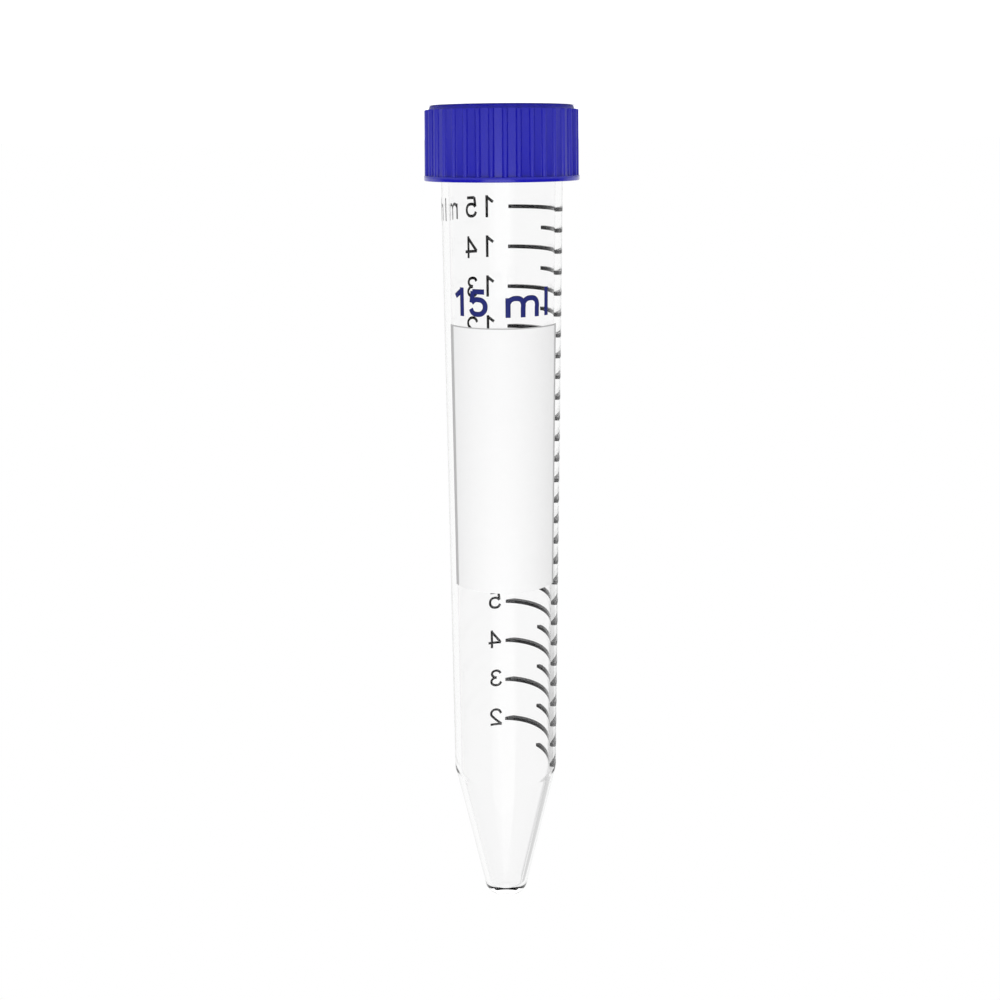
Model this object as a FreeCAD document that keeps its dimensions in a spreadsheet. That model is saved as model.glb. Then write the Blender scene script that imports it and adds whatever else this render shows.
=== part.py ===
import FreeCAD, Part
import math
import os

import Sketcher
from FreeCAD import Placement, Rotation, Vector

# 15 ml conical tube with its screw cap, standing on its head on the flat top of the cap.
#
# Every piece is drawn about the tube's own axis, Z, with the flat of the tip at zero and the cap
# above it, and is then turned over by one shared placement. A tube like this can't stand on its
# tip and rolls on its side, but it stands steadily on the cap. In the standing frame the tip
# points to +Z, the writing side faces -Y, and the origin is on the bench at the cap's centre.

# Driving dimensions in millimetres, or plain counts: alias, value, what it is.
SIZES = [
    ("tube_length", 117.5, "tip to rim"),
    ("wall", 0.95, "wall of the body and of the cone"),
    ("neck_radius", 8.07, "outside of the body at its top and of the threaded neck"),
    ("shoulder_radius", 7.78, "outside of the body where the cone starts"),
    ("shoulder_height", 22.4, "height of the shoulder above the tip"),
    ("neck_height", 9.7, "straight neck below the rim"),
    ("edge_radius", 3.3, "outside of the cone where the rounded tip starts"),
    ("edge_height", 1.0, "height of that edge above the tip"),
    ("tip_radius", 1.77, "flat at the very tip"),
    ("tip_curve", 1.9, "radius of the rounding between that flat and the cone"),
    ("dimple_radius", 1.2, "moulding dimple in the flat"),
    ("dimple_depth", 0.25, "depth of the dimple"),
    ("floor_thickness", 1.55, "plastic between the flat and the bore"),
    ("floor_rounding", 0.8, "rounding at the bottom of the bore"),
    ("shoulder_rounding", 1.2, "rounding outside at the shoulder"),
    ("inner_rounding", 2.0, "rounding inside at the shoulder"),
    ("rim_rounding", 0.25, "rounding of both edges of the rim"),
    ("thread_pitch", 3.0, "rise of the single-start thread in one turn"),
    ("thread_depth", 0.62, "height of a thread ridge"),
    ("thread_root", 1.5, "width of a ridge at its root"),
    ("thread_crest", 0.8, "width of a ridge at its crest"),
    ("foot_margin", 0.35, "smooth bore between the cap's foot and its ridge"),
    ("rim_margin", 0.95, "smooth neck between its ridge and the rim"),
    ("ceiling_margin", 2.05, "smooth bore between the cap's ridge and its ceiling"),
    ("thread_clearance", 0.25, "radial gap between a crest and the root it runs in"),
    ("cap_height", 9.4, "cap from the flange's underside to the top"),
    ("cap_plate", 1.0, "thickness of the cap's top"),
    ("cap_wall", 0.75, "wall of the cap between two ribs, at their top end"),
    ("cap_flare", 0.16, "growth of the cap's radius down to the flange"),
    ("lip_height", 0.55, "smooth lip above the ribs"),
    ("lip_step", 0.17, "how far the lip stands back from the wall where the ribs end"),
    ("lip_slope", 0.22, "how far the lip leans in up to its top"),
    ("lip_rounding", 0.25, "rounding of the lip's top edge"),
    ("flange_step", 0.09, "how far the smooth ring at the cap's foot stands out past the ribs"),
    ("flange_height", 0.65, "height of that ring"),
    ("flange_rounding", 0.12, "rounding of the ring's two outer edges"),
    ("lead_in", 0.3, "chamfer at the mouth of the cap"),
    ("rib_count", 36, "grip ribs around the cap"),
    ("rib_height", 0.35, "height of a rib"),
    ("rib_root", 0.84, "width of a rib where it leaves the cap"),
    ("rib_crest", 0.44, "width of a rib at its crest"),
    ("rib_rounding", 0.1, "rounding of a rib's top end"),
    ("rib_turn", 2.5, "how far the first rib is turned from the back, in degrees"),
    ("liner_thickness", 0.5, "sealing disc between the rim and the cap's top"),
    ("liner_gap", 0.4, "gap around the disc inside the cap"),
]

# Heights and radii that follow from the driving dimensions, as expressions on the sheet.
RIM = "Sizes.tube_length"
NECK_FOOT = "(Sizes.tube_length - Sizes.neck_height)"
CAP_CEILING = "(Sizes.tube_length + Sizes.liner_thickness)"
CAP_TOP = f"({CAP_CEILING} + Sizes.cap_plate)"
CAP_FOOT = f"({CAP_TOP} - Sizes.cap_height)"
FLANGE_TOP = f"({CAP_FOOT} + Sizes.flange_height)"
RIB_TOP = f"({CAP_TOP} - Sizes.lip_height)"
NECK_CREST = "(Sizes.neck_radius + Sizes.thread_depth)"
CAP_BORE = f"({NECK_CREST} + Sizes.thread_clearance)"
CAP_CORE = f"({CAP_BORE} + Sizes.cap_wall)"
RIB_HEAD_RADIUS = f"({CAP_CORE} + Sizes.rib_height)"
RIB_FOOT_RADIUS = f"({RIB_HEAD_RADIUS} + Sizes.cap_flare)"
FLANGE_RADIUS = f"({RIB_FOOT_RADIUS} + Sizes.flange_step)"
LIP_BASE_RADIUS = f"({CAP_CORE} - Sizes.lip_step)"
LIP_TOP_RADIUS = f"({LIP_BASE_RADIUS} - Sizes.lip_slope)"
LINER_RADIUS = f"({CAP_BORE} - Sizes.liner_gap)"

# The two ridges start at the same place around the axis. The neck's lies half a pitch above the
# cap's, so each runs in the middle of the other's groove.
CAP_RIDGE = f"({CAP_FOOT} + Sizes.foot_margin + Sizes.thread_root / 2)"
NECK_RIDGE = f"({CAP_RIDGE} + Sizes.thread_pitch / 2)"
CAP_RIDGE_END = f"({CAP_CEILING} - Sizes.ceiling_margin - Sizes.thread_root / 2)"
NECK_RIDGE_END = f"({RIM} - Sizes.rim_margin - Sizes.thread_root / 2)"

SHARP = 1e-4  # how near, in mm, an edge must lie to a stated circle to be that circle
ROOT_BITE = 0.3  # how deep a ridge or a rib is rooted in the wall that it stands on, in mm


def build_sheet(doc):
    """Puts the driving dimensions into the document's spreadsheet."""
    sheet = doc.addObject("Spreadsheet::Sheet", "Sizes")
    for row, (alias, value, note) in enumerate(SIZES, start=1):
        sheet.set(f"A{row}", note)
        sheet.set(f"B{row}", str(value))
        sheet.setAlias(f"B{row}", alias)
    doc.recompute()
    return sheet


def origin_plane(body, role):
    """Returns one of a body's own origin planes."""
    return next(item for item in body.Origin.OriginFeatures if item.Role == role)


def arc_between(start, end, radius, side):
    """Returns an arc from start to end whose centre lies on the given side, and if it runs backwards."""
    chord = end - start
    away = Vector(-chord.y, chord.x, 0).normalize() * side
    centre = (start + end) / 2 + away * math.sqrt(radius**2 - (chord.Length / 2) ** 2)
    angles = [math.atan2(point.y - centre.y, point.x - centre.x) for point in (start, end)]
    backwards = side < 0
    if backwards:
        angles.reverse()
    circle = Part.Circle(centre, Vector(0, 0, 1), radius)
    return Part.ArcOfCircle(circle, angles[0], angles[1]), backwards


def outline(body, name, corners, role="XZ_Plane", arcs=None):
    """Draws a closed outline in one of a body's origin planes.

    corners are pairs of expressions, across and up. arcs maps the number of a corner to a radius
    expression and the side of its centre (1 left, -1 right) for the stretch that leaves the corner.
    """
    arcs = arcs or {}
    sketch = body.newObject("Sketcher::SketchObject", name)
    sketch.AttachmentSupport = (origin_plane(body, role), [""])
    sketch.MapMode = "FlatFace"
    points = [Vector(*(float(body.evalExpression(value)) for value in corner), 0) for corner in corners]
    starts = []
    ends = []
    for number, start in enumerate(points):
        end = points[(number + 1) % len(points)]
        backwards = False
        shape = Part.LineSegment(start, end)
        if number in arcs:
            radius, side = arcs[number]
            shape, backwards = arc_between(start, end, float(body.evalExpression(radius)), side)
        sketch.addGeometry(shape)
        starts.append(2 if backwards else 1)
        ends.append(1 if backwards else 2)
    for number in range(len(points)):
        after = (number + 1) % len(points)
        sketch.addConstraint(Sketcher.Constraint("Coincident", number, ends[number], after, starts[after]))
    for number, (across, up) in enumerate(corners):
        for kind, value, axis in (("DistanceX", across, -2), ("DistanceY", up, -1)):
            if value == "0":
                sketch.addConstraint(Sketcher.Constraint("PointOnObject", number, starts[number], axis))
                continue
            size = float(body.evalExpression(value))
            rule = Sketcher.Constraint(kind, -1, 1, number, starts[number], size)
            index = sketch.addConstraint(rule)
            sketch.setExpression(f"Constraints[{index}]", value)
    for number, (radius, _side) in arcs.items():
        size = float(body.evalExpression(radius))
        index = sketch.addConstraint(Sketcher.Constraint("Radius", number, size))
        sketch.setExpression(f"Constraints[{index}]", radius)
    return sketch


def turned(body, kind, name, sketch):
    """Adds a full revolution or groove of a sketch about the body's axis."""
    feature = body.newObject(f"PartDesign::{kind}", name)
    feature.Profile = sketch
    feature.ReferenceAxis = (sketch, ["V_Axis"])
    feature.Angle = 360
    body.Document.recompute()
    return feature


def is_ring(edge, radius, height):
    """Says whether an edge is the circle about the axis with that radius and height."""
    if not isinstance(edge.Curve, Part.Circle):
        return False
    return abs(edge.Curve.Radius - radius) < SHARP and abs(edge.Curve.Center.z - height) < SHARP


def round_rings(body, name, radius, rings):
    """Rounds circular edges, each given by the expressions of its radius and height."""
    base = body.Tip
    places = [[float(body.evalExpression(value)) for value in ring] for ring in rings]
    names = []
    for number, edge in enumerate(base.Shape.Edges, start=1):
        if any(is_ring(edge, *place) for place in places):
            names.append(f"Edge{number}")
    if len(names) < len(rings):
        raise RuntimeError(f"{name}: found {len(names)} of {len(rings)} edges")
    fillet = body.newObject("PartDesign::Fillet", name)
    fillet.Base = (base, names)
    fillet.setExpression("Radius", radius)
    body.Document.recompute()


def add_ridge(body, name, root, inwards, start, end):
    """Winds a thread ridge from start up to end on a wall of radius root, standing in or out from it."""
    bite = f"{ROOT_BITE}"
    buried, crest = f"{root} - {bite}", f"{root} + Sizes.thread_depth"
    if inwards:
        buried, crest = f"{root} + {bite}", f"{root} - Sizes.thread_depth"
    half_root, half_crest = "Sizes.thread_root / 2", "Sizes.thread_crest / 2"
    corners = [
        (buried, f"{start} - {half_root}"),
        (root, f"{start} - {half_root}"),
        (crest, f"{start} - {half_crest}"),
        (crest, f"{start} + {half_crest}"),
        (root, f"{start} + {half_root}"),
        (buried, f"{start} + {half_root}"),
    ]
    sketch = outline(body, f"{name}_section", corners)
    ridge = body.newObject("PartDesign::AdditiveHelix", name)
    ridge.Profile = sketch
    ridge.ReferenceAxis = (sketch, ["V_Axis"])
    ridge.Mode = "pitch-turns-angle"
    ridge.setExpression("Pitch", "Sizes.thread_pitch")
    ridge.setExpression("Turns", f"({end} - {start}) / Sizes.thread_pitch")
    body.Document.recompute()


def build_tube(doc):
    """The clear body, its cone and its threaded neck, moulded in one piece."""
    body = doc.addObject("PartDesign::Body", "tube")
    bore_foot = "Sizes.shoulder_radius - Sizes.wall"
    corners = [
        ("0", "Sizes.dimple_depth"),
        ("Sizes.dimple_radius", "0"),
        ("Sizes.tip_radius", "0"),
        ("Sizes.edge_radius", "Sizes.edge_height"),
        ("Sizes.shoulder_radius", "Sizes.shoulder_height"),
        ("Sizes.neck_radius", NECK_FOOT),
        ("Sizes.neck_radius", RIM),
        ("Sizes.neck_radius - Sizes.wall", RIM),
        ("Sizes.neck_radius - Sizes.wall", NECK_FOOT),
        (bore_foot, "Sizes.shoulder_height"),
        ("Sizes.edge_radius - Sizes.wall", "Sizes.floor_thickness"),
        ("0", "Sizes.floor_thickness"),
    ]
    sketch = outline(body, "tube_section", corners, arcs={2: ("Sizes.tip_curve", 1)})
    turned(body, "Revolution", "tube_wall", sketch)
    shoulder = ("Sizes.shoulder_radius", "Sizes.shoulder_height")
    round_rings(body, "shoulder_outside", "Sizes.shoulder_rounding", [shoulder])
    round_rings(body, "shoulder_inside", "Sizes.inner_rounding", [(bore_foot, "Sizes.shoulder_height")])
    floor = ("Sizes.edge_radius - Sizes.wall", "Sizes.floor_thickness")
    round_rings(body, "bore_floor", "Sizes.floor_rounding", [floor])
    rim = [("Sizes.neck_radius", RIM), ("Sizes.neck_radius - Sizes.wall", RIM)]
    round_rings(body, "rim_edges", "Sizes.rim_rounding", rim)
    add_ridge(body, "neck_thread", "Sizes.neck_radius", False, NECK_RIDGE, NECK_RIDGE_END)
    return body


def build_cap_shell(body):
    """Turns the plain shell of the cap: top, lip, skirt and flange, with the bore left out."""
    corners = [
        ("0", CAP_TOP),
        (LIP_TOP_RADIUS, CAP_TOP),
        (LIP_BASE_RADIUS, RIB_TOP),
        (CAP_CORE, RIB_TOP),
        (f"{CAP_CORE} + Sizes.cap_flare", FLANGE_TOP),
        (FLANGE_RADIUS, FLANGE_TOP),
        (FLANGE_RADIUS, CAP_FOOT),
        (f"{CAP_BORE} + Sizes.lead_in", CAP_FOOT),
        (CAP_BORE, f"{CAP_FOOT} + Sizes.lead_in"),
        (CAP_BORE, CAP_CEILING),
        ("0", CAP_CEILING),
    ]
    turned(body, "Revolution", "cap_wall", outline(body, "cap_section", corners))
    round_rings(body, "lip_edge", "Sizes.lip_rounding", [(LIP_TOP_RADIUS, CAP_TOP)])
    flange = [(FLANGE_RADIUS, FLANGE_TOP), (FLANGE_RADIUS, CAP_FOOT)]
    round_rings(body, "flange_edges", "Sizes.flange_rounding", flange)


def rib_section(body, name, crest, height):
    """Draws one rib's section across the axis, at the given crest radius and height."""
    root = f"{crest} - Sizes.rib_height"
    half_root, half_crest = "Sizes.rib_root / 2", "Sizes.rib_crest / 2"
    corners = [
        (f"-({half_root})", f"{root} - {ROOT_BITE}"),
        (half_root, f"{root} - {ROOT_BITE}"),
        (half_root, root),
        (half_crest, crest),
        (f"-({half_crest})", crest),
        (f"-({half_root})", root),
    ]
    sketch = outline(body, name, corners, role="XY_Plane")
    sketch.AttachmentOffset = Placement(Vector(), Rotation(Vector(0, 0, 1), 1))
    sketch.setExpression("AttachmentOffset.Rotation.Angle", "Sizes.rib_turn")
    sketch.setExpression("AttachmentOffset.Base.z", height)
    return sketch


def build_cap_ribs(body):
    """Stands one rib on the skirt, rounds its top end and repeats it around the cap."""
    doc = body.Document
    rib = body.newObject("PartDesign::AdditiveLoft", "rib")
    foot = rib_section(body, "rib_foot", RIB_FOOT_RADIUS, f"{FLANGE_TOP} - Sizes.flange_height / 2")
    rib.Profile = foot
    rib.Sections = [rib_section(body, "rib_head", RIB_HEAD_RADIUS, RIB_TOP)]
    body.Tip = rib
    doc.recompute()
    ring = body.newObject("PartDesign::PolarPattern", "ribs")
    ring.Originals = [rib]
    ring.Axis = (foot, ["N_Axis"])
    ring.Angle = 360
    ring.setExpression("Occurrences", "Sizes.rib_count")
    body.Tip = ring
    doc.recompute()
    corners = [
        (f"{RIB_HEAD_RADIUS} - Sizes.rib_rounding", RIB_TOP),
        (FLANGE_RADIUS, RIB_TOP),
        (FLANGE_RADIUS, f"{RIB_TOP} - Sizes.rib_rounding"),
        (RIB_HEAD_RADIUS, f"{RIB_TOP} - Sizes.rib_rounding"),
    ]
    section = outline(body, "rib_end_section", corners, arcs={3: ("Sizes.rib_rounding", 1)})
    turned(body, "Groove", "rib_ends", section)


def build_cap(doc):
    """The screw cap, moulded in one piece with its ribs and its inner thread."""
    body = doc.addObject("PartDesign::Body", "cap")
    build_cap_shell(body)
    add_ridge(body, "cap_thread", CAP_BORE, True, CAP_RIDGE, CAP_RIDGE_END)
    build_cap_ribs(body)
    return body


def build_liner(doc):
    """The soft sealing disc, held between the rim of the tube and the top of the cap."""
    disc = doc.addObject("Part::Cylinder", "cap_liner")
    disc.setExpression("Radius", LINER_RADIUS)
    disc.setExpression("Height", "Sizes.liner_thickness")
    return disc


def standing_placement(cap):
    """Returns the placement that turns the pieces over, onto the flat top of the cap."""
    cap_top = float(cap.evalExpression(CAP_TOP))
    return Placement(Vector(0, 0, cap_top), Rotation(Vector(0, 1, 0), 180))


def check(doc, pieces):
    """Stops the build if any object failed or any piece is not one sound solid."""
    for item in doc.Objects:
        if "Invalid" in item.State or "Error" in item.State:
            raise RuntimeError(f"{item.Name} is {item.State}")
    for piece in pieces:
        if piece.Shape.isNull() or not piece.Shape.isValid() or len(piece.Shape.Solids) != 1:
            raise RuntimeError(f"{piece.Label} is not one valid solid")


def main():
    doc = FreeCAD.newDocument("conical_tube")
    sheet = build_sheet(doc)
    tube = build_tube(doc)
    cap = build_cap(doc)
    liner = build_liner(doc)
    stand = standing_placement(cap)
    tube.Placement = stand
    cap.Placement = stand
    liner.Placement = stand * Placement(Vector(0, 0, sheet.tube_length), Rotation())
    doc.recompute()
    pieces = [tube, cap, liner]
    check(doc, pieces)
    os.makedirs("parts", exist_ok=True)
    for piece in pieces:
        piece.Shape.exportStep(f"parts/{piece.Label}.step")
        box = piece.Shape.optimalBoundingBox(False)
        print(piece.Label, round(piece.Shape.Volume, 2), "mm3", box)


main()
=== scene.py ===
"""15 ml conical tube with its screw cap, standing on its head on the flat top of the cap.

Every piece is drawn about the tube's own axis, Z, in millimetres, with the flat of the tip at zero
and the cap above it. Front is -Y, where the writing patch is. Stand.turn_over then puts the piece
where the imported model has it: upside down, in metres, with the cap's flat top on the bench.
"""

import logging
import math
from collections.abc import Callable, Iterable, Sequence
from dataclasses import dataclass
from enum import Enum

import bmesh
import bpy
from bmesh.types import BMEdge, BMesh, BMVert
from bpy.types import ID, Material, Mesh, Node, NodeSocket, NodeTree, Object
from mathutils import Matrix, Vector


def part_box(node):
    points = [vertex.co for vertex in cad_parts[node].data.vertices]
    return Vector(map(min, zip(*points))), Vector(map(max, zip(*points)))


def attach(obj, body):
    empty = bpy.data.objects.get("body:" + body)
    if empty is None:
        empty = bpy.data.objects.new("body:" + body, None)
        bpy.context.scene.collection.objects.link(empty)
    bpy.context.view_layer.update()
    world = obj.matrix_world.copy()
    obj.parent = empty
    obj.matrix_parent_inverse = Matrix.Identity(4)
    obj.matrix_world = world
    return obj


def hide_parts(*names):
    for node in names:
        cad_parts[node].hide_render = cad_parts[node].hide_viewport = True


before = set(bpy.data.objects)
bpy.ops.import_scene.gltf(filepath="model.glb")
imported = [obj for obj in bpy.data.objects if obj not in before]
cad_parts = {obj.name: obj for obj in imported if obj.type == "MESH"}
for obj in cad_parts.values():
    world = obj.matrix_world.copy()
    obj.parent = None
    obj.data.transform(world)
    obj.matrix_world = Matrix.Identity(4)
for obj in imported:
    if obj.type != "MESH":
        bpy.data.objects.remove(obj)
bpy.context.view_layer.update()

MM = 0.001  # metres in a millimetre
WELD = 1e-4  # how near two corners must lie to become one, in mm
ON_RING = 1e-3  # how near a corner must lie to a ring to be on it, in mm
FULL_TURN = 2 * math.pi
STEPS_PER_TURN = 160  # faces around a turned wall
DEGREES_PER_STEP = 2  # how finely print is swept around the wall
STROKE_PIECES = 8  # stretches of a straight stroke, so that it follows the round wall
CLOUD_SHARE = 0.06  # how coarse the slow cloud is beside the fine grain

log = logging.getLogger("conical_tube")

Colour = tuple[float, float, float, float]
Pair = tuple[float, float]


class Body(Enum):
    """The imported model's bodies that the drawn pieces ride on."""

    CAP = "cap"
    TUBE = "tube"


class Slot(Enum):
    """The record's material slots, by name; nothing in the script reads them."""

    CLEAR = "clear_plastic"
    BLUE = "blue_plastic"
    PATCH = "patch_white"
    SCALE = "scale_black"
    MARK = "mark_navy"


class Side(Enum):
    """Which way a thread's ridge stands from its wall."""

    OUTWARDS = 1
    INWARDS = -1


# ------------------------ meshes


@dataclass(frozen=True)
class Stand:
    """How the tube stands: turned over about Y, with the cap's top on the bench.

    Args:
        cap_top: Height of the cap's flat top above the tip, in millimetres.
    """

    cap_top: float

    def turn_over(self, bm: BMesh) -> None:
        """Moves a drawn piece to its place on the bench.

        Args:
            bm: The piece, drawn about the tube's own axis in millimetres. It comes out in metres.
        """
        turn = Matrix.Rotation(math.pi, 4, "Y")
        lift = Matrix.Translation((0, 0, self.cap_top * MM))
        bmesh.ops.transform(bm, matrix=lift @ turn @ Matrix.Scale(MM, 4), verts=bm.verts)


def baked(bm: BMesh, name: str) -> Mesh:
    """Turns what was drawn into a mesh block.

    Args:
        bm: What was drawn, which is freed.
        name: Name of the block.

    Returns:
        The block.
    """
    mesh = bpy.data.meshes.new(name)
    bm.to_mesh(mesh)
    bm.free()
    return mesh


def placed(name: str, data: ID) -> Object:
    """Adds an object to the scene.

    Args:
        name: Name of the object.
        data: What it shows, such as a mesh or a lamp.

    Returns:
        The object.
    """
    item = bpy.data.objects.new(name, data)
    bpy.context.scene.collection.objects.link(item)
    return item


def on_wall(angle: float, radius: float, height: float) -> Vector:
    """Returns a point on a wall about the axis.

    Args:
        angle: Radians from the front, growing to the right.
        radius: Distance from the axis.
        height: Height above the tip.
    """
    return Vector((radius * math.sin(angle), -radius * math.cos(angle), height))


def crisp(bm: BMesh, limit: float = 32.0) -> None:
    """Shades a mesh smooth, except over its sharper edges.

    Args:
        bm: The mesh.
        limit: Degrees that an edge may turn by and still be smooth.
    """
    for face in bm.faces:
        face.smooth = True
    for edge in bm.edges:
        edge.smooth = len(edge.link_faces) != 2 or edge.calc_face_angle() < math.radians(limit)


def round_ring(bm: BMesh, radius: float, height: float, rounding: float, segments: int = 6) -> None:
    """Rounds the edge that runs around a turned wall.

    Args:
        bm: The wall.
        radius: Radius of the edge's ring.
        height: Height of the ring.
        rounding: Radius of the rounding.
        segments: Faces across the rounding.
    """

    def on_ring(vert: BMVert) -> bool:
        """Tells whether a corner lies on the ring."""
        near = abs(vert.co.xy.length - radius) < ON_RING
        return near and abs(vert.co.z - height) < ON_RING

    edges = [edge for edge in bm.edges if all(on_ring(vert) for vert in edge.verts)]
    turn = edges[0].calc_face_angle()
    bmesh.ops.bevel(
        bm,
        geom=edges,
        offset=rounding * math.tan(turn / 2),
        offset_type="OFFSET",
        affect="EDGES",
        segments=segments,
        profile=0.5,
        material=-1,
    )


def mended(bm: BMesh) -> BMesh:
    """Merges the corners of a drawn mesh that meet and turns its faces outwards.

    Args:
        bm: The mesh.

    Returns:
        The same mesh.
    """
    bmesh.ops.remove_doubles(bm, verts=bm.verts, dist=WELD)
    bmesh.ops.recalc_face_normals(bm, faces=bm.faces)
    return bm


def arc_points(start: Vector, end: Vector, radius: float, steps: int) -> list[Pair]:
    """Draws an arc between two points, with its centre to the left of the way there.

    Args:
        start: First point, as radius and height.
        end: Last point.
        radius: Radius of the arc.
        steps: Stretches that the arc is drawn in.

    Returns:
        The points along it, with both ends.
    """
    chord = end - start
    left = Vector((-chord.y, chord.x)).normalized()
    centre = (start + end) / 2 + left * math.sqrt(radius**2 - (chord.length / 2) ** 2)
    first = math.atan2(start.y - centre.y, start.x - centre.x)
    last = math.atan2(end.y - centre.y, end.x - centre.x)
    turns = [first + (last - first) * step / steps for step in range(steps + 1)]
    return [tuple(centre + Vector((math.cos(turn), math.sin(turn))) * radius) for turn in turns]


def turned(profile: Sequence[Pair], steps: int = STEPS_PER_TURN) -> BMesh:
    """Turns an open profile, whose two ends lie on the axis, into a closed wall.

    Args:
        profile: Points as radius and height.
        steps: Faces around the axis.

    Returns:
        The wall, with its faces outwards.
    """
    bm = bmesh.new()
    verts = [bm.verts.new((radius, 0, height)) for radius, height in profile]
    edges = [bm.edges.new(pair) for pair in zip(verts, verts[1:])]
    bmesh.ops.spin(
        bm,
        geom=verts + edges,
        cent=(0, 0, 0),
        axis=(0, 0, 1),
        angle=FULL_TURN,
        steps=steps,
        use_merge=True,
    )
    return mended(bm)


def swept(section: Sequence[Pair], angle: float, climb: float, steps: int) -> BMesh:
    """Sweeps a closed section around the axis into a solid with two flat ends.

    Args:
        section: Corners as radius and height, drawn at +X.
        angle: Radians to sweep, counter-clockwise seen from the cap.
        climb: Rise over the whole sweep.
        steps: Faces along the sweep.

    Returns:
        The solid, with its faces outwards.
    """
    bm = bmesh.new()
    verts = [bm.verts.new((radius, 0, height)) for radius, height in section]
    edges = [bm.edges.new(pair) for pair in zip(verts, verts[1:] + verts[:1])]
    bmesh.ops.spin(
        bm,
        geom=verts + edges,
        cent=(0, 0, 0),
        axis=(0, 0, 1),
        dvec=(0, 0, climb / steps),
        angle=angle,
        steps=steps,
    )
    bmesh.ops.holes_fill(bm, edges=[edge for edge in bm.edges if edge.is_boundary])
    bmesh.ops.recalc_face_normals(bm, faces=bm.faces)
    return bm


def strip(section: Sequence[Pair], start: float, end: float, least: int) -> BMesh:
    """Sweeps a closed section around the axis between two angles.

    Args:
        section: Corners as radius and height.
        start: Radians from the front where it starts.
        end: Radians from the front where it ends, further to the right.
        least: Fewest faces along the sweep.

    Returns:
        The solid, with its faces outwards.
    """
    sweep = end - start
    bm = swept(section, sweep, 0.0, max(least, round(math.degrees(sweep) / DEGREES_PER_STEP)))
    turn = Matrix.Rotation(start - math.radians(90), 3, "Z")
    bmesh.ops.rotate(bm, verts=bm.verts, cent=(0, 0, 0), matrix=turn)
    return bm


def joined(parts: Iterable[BMesh]) -> BMesh:
    """Puts several meshes together.

    Args:
        parts: The meshes. All but the first are freed.

    Returns:
        The first mesh, which then holds them all.
    """
    first, *rest = parts
    for part in rest:
        spare = baked(part, "spare")
        first.from_mesh(spare)
        bpy.data.meshes.remove(spare)
    return first


def united(wall: BMesh, ridge: BMesh) -> BMesh:
    """Unites a ridge with its wall into one closed skin.

    Args:
        wall: The wall, which is freed.
        ridge: The ridge, rooted in the wall, which is freed.

    Returns:
        The skin.
    """
    whole = placed("wall", baked(wall, "wall"))
    extra = placed("ridge", baked(ridge, "ridge"))
    boolean = whole.modifiers.new("unite", "BOOLEAN")
    boolean.operation = "UNION"
    boolean.solver = "EXACT"
    boolean.object = extra
    result = bmesh.new()
    result.from_object(whole, bpy.context.evaluated_depsgraph_get())
    for item in (whole, extra):
        mesh = item.data
        bpy.data.objects.remove(item)
        bpy.data.meshes.remove(mesh)
    return result


def finished(bm: BMesh, name: str, body: Body, material: Material, stand: Stand) -> Object:
    """Makes the object of a drawn piece, in its place, dressed and riding on its body.

    Args:
        bm: The piece as drawn, which is freed.
        name: Name of the piece.
        body: Body that it moves with.
        material: Its finish.
        stand: How the tube stands.

    Returns:
        The piece.
    """
    stand.turn_over(bm)
    mesh = baked(bm, name)
    mesh.materials.clear()
    mesh.materials.append(material)
    piece = placed(name, mesh)
    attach(piece, body.value)
    log.info("%s: %d faces on body %s", name, len(mesh.polygons), body.value)
    return piece


# ------------------------ finishes


class Wiring:
    """Adds nodes to a tree and wires them in one call each."""

    def __init__(self, tree: NodeTree) -> None:
        """Starts on a tree, which is emptied."""
        self.tree = tree
        tree.nodes.clear()

    def add(self, kind: str, inputs: dict | None = None, **settings: object) -> Node:
        """Adds a node.

        Args:
            kind: The node's type, such as ShaderNodeMath.
            inputs: What goes into its sockets, by name or number: a socket to link or a value.
            settings: Properties of the node.

        Returns:
            The node.
        """
        node = self.tree.nodes.new(kind)
        for name, value in settings.items():
            setattr(node, name, value)
        for key, value in (inputs or {}).items():
            if isinstance(value, NodeSocket):
                self.tree.links.new(value, node.inputs[key])
            else:
                node.inputs[key].default_value = value
        return node

    def math(self, operation: str, *values: float | NodeSocket) -> NodeSocket:
        """Adds a math node and returns its result."""
        return self.add("ShaderNodeMath", dict(enumerate(values)), operation=operation).outputs[0]

    def ramp(
        self, value: NodeSocket, low: float, high: float, to_low: float = 0.0, to_high: float = 1.0
    ) -> NodeSocket:
        """Maps a value from one range to another, smoothly and clamped, and returns it."""
        limits = {"Value": value, "From Min": low, "From Max": high, "To Min": to_low, "To Max": to_high}
        return self.add("ShaderNodeMapRange", limits, interpolation_type="SMOOTHSTEP").outputs[0]

    def mix(self, share: NodeSocket, first: object, second: object) -> NodeSocket:
        """Mixes two colours, each a socket or a value; a share of 1 is all second."""
        return self.add("ShaderNodeMix", {0: share, 6: first, 7: second}, data_type="RGBA").outputs[2]

    def blend(self, share: NodeSocket, first: object, second: object) -> NodeSocket:
        """Mixes two numbers, each a socket or a value; a share of 1 is all second."""
        return self.add("ShaderNodeMix", {0: share, 2: first, 3: second}, data_type="FLOAT").outputs[0]

    def bump(self, height: NodeSocket, strength: float, distance: float) -> NodeSocket:
        """Bends the surface's normal by a height, over a distance in metres, and returns it."""
        inputs = {"Height": height, "Strength": strength, "Distance": distance}
        return self.add("ShaderNodeBump", inputs).outputs[0]

    def place(self) -> NodeSocket:
        """Returns the point's place on the object, in metres."""
        return self.add("ShaderNodeTexCoord").outputs["Object"]


def rgb(red: float, green: float, blue: float) -> Colour:
    """Returns a colour with full alpha."""
    return (red, green, blue, 1.0)


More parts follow.
